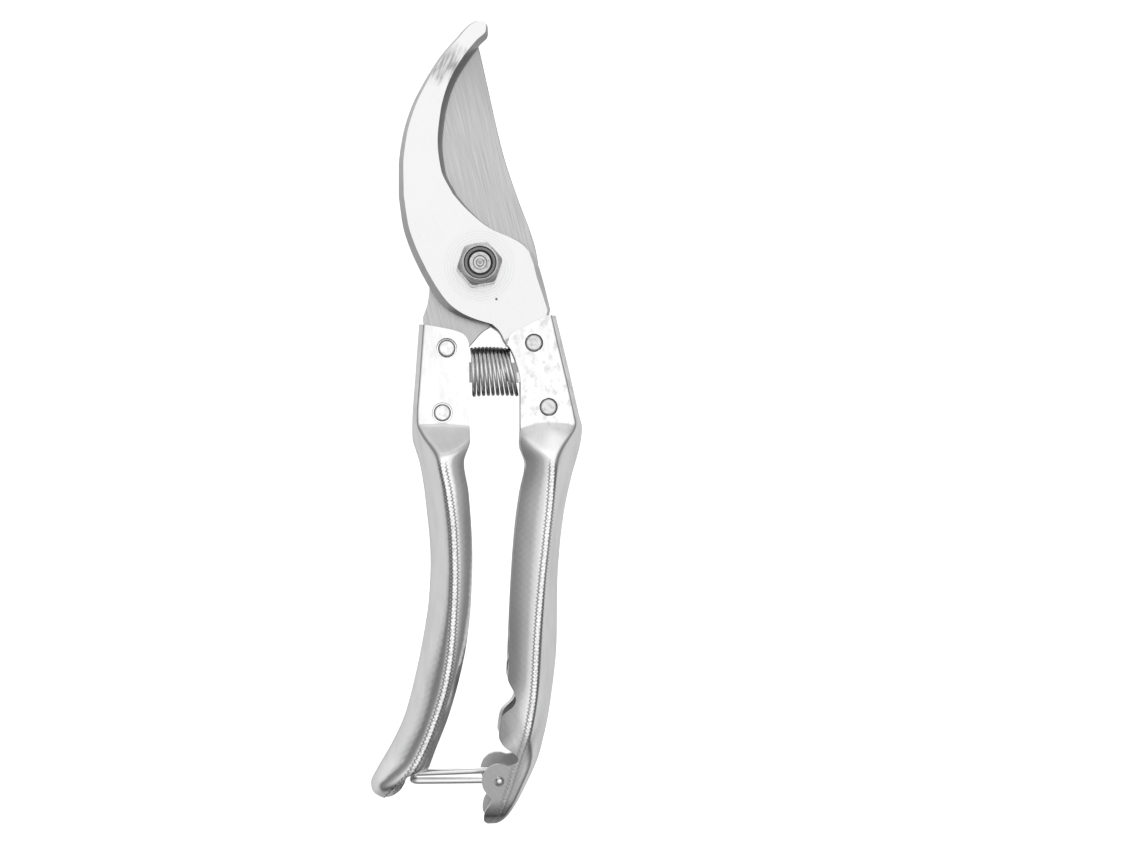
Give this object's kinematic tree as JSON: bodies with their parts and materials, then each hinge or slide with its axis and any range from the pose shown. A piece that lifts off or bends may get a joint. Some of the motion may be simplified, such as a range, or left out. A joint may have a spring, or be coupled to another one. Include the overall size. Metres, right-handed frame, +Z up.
{
  "type": "pruning shears",
  "caption": "Hand-held bypass pruning shears with a hooked counter blade, pressed-steel channel handles, a coil return spring and a wire catch.",
  "frame": {"origin": "middle of the underside: the shears lie flat on their grips, and the origin is the centre of their outline at the height of the lowest grip", "axes": "+Z up, along the pivot's axis, from the cutting blade towards the counter blade; +Y along the tool, from the handles to the tips; +X towards the hook handle"},
  "size_m": [0.0524, 0.1986, 0.0214],
  "materials": {
    "hook_steel": "bright ground steel, lightly scratched",
    "blade_steel": "steel ground lengthwise, satin",
    "handle_plate": "bright plated pressed steel with a fine orange-peel",
    "rivet_steel": "pressed and polished flush",
    "bolt_steel": "bright turned steel",
    "nut_zinc": "bright zinc plate",
    "insert_nylon": "matt nylon",
    "spring_steel": "dark oil-hardened wire with bright streaks",
    "catch_steel": "bright drawn wire"
  },
  "bodies": {
    "hook_side": {"counter_blade": "hook_steel", "hook_handle": "handle_plate", "hook_rivet_upper": "rivet_steel", "hook_rivet_lower": "rivet_steel"},
    "blade_side": {"cutting_blade": "blade_steel", "blade_handle": "handle_plate", "blade_rivet_upper": "rivet_steel", "blade_rivet_lower": "rivet_steel", "pivot_bolt": "bolt_steel", "pivot_nut": "nut_zinc", "nut_insert": "insert_nylon", "return_spring": "spring_steel"},
    "catch": {"wire_catch": "catch_steel"}
  },
  "joints": [
    {"name": "blade_pivot", "type": "hinge", "parent": "hook_side", "child": "blade_side", "pos_m": [0.00058, 0.03871, 0.009], "axis": [0, 0, -1], "range_deg": [0, 42], "deforming": ["return_spring"]},
    {"name": "catch_hinge", "type": "hinge", "parent": "hook_side", "child": "catch", "pos_m": [0.00538, -0.08739, 0.01], "axis": [0, 0, 1], "range_deg": [0, 50]}
  ]
}
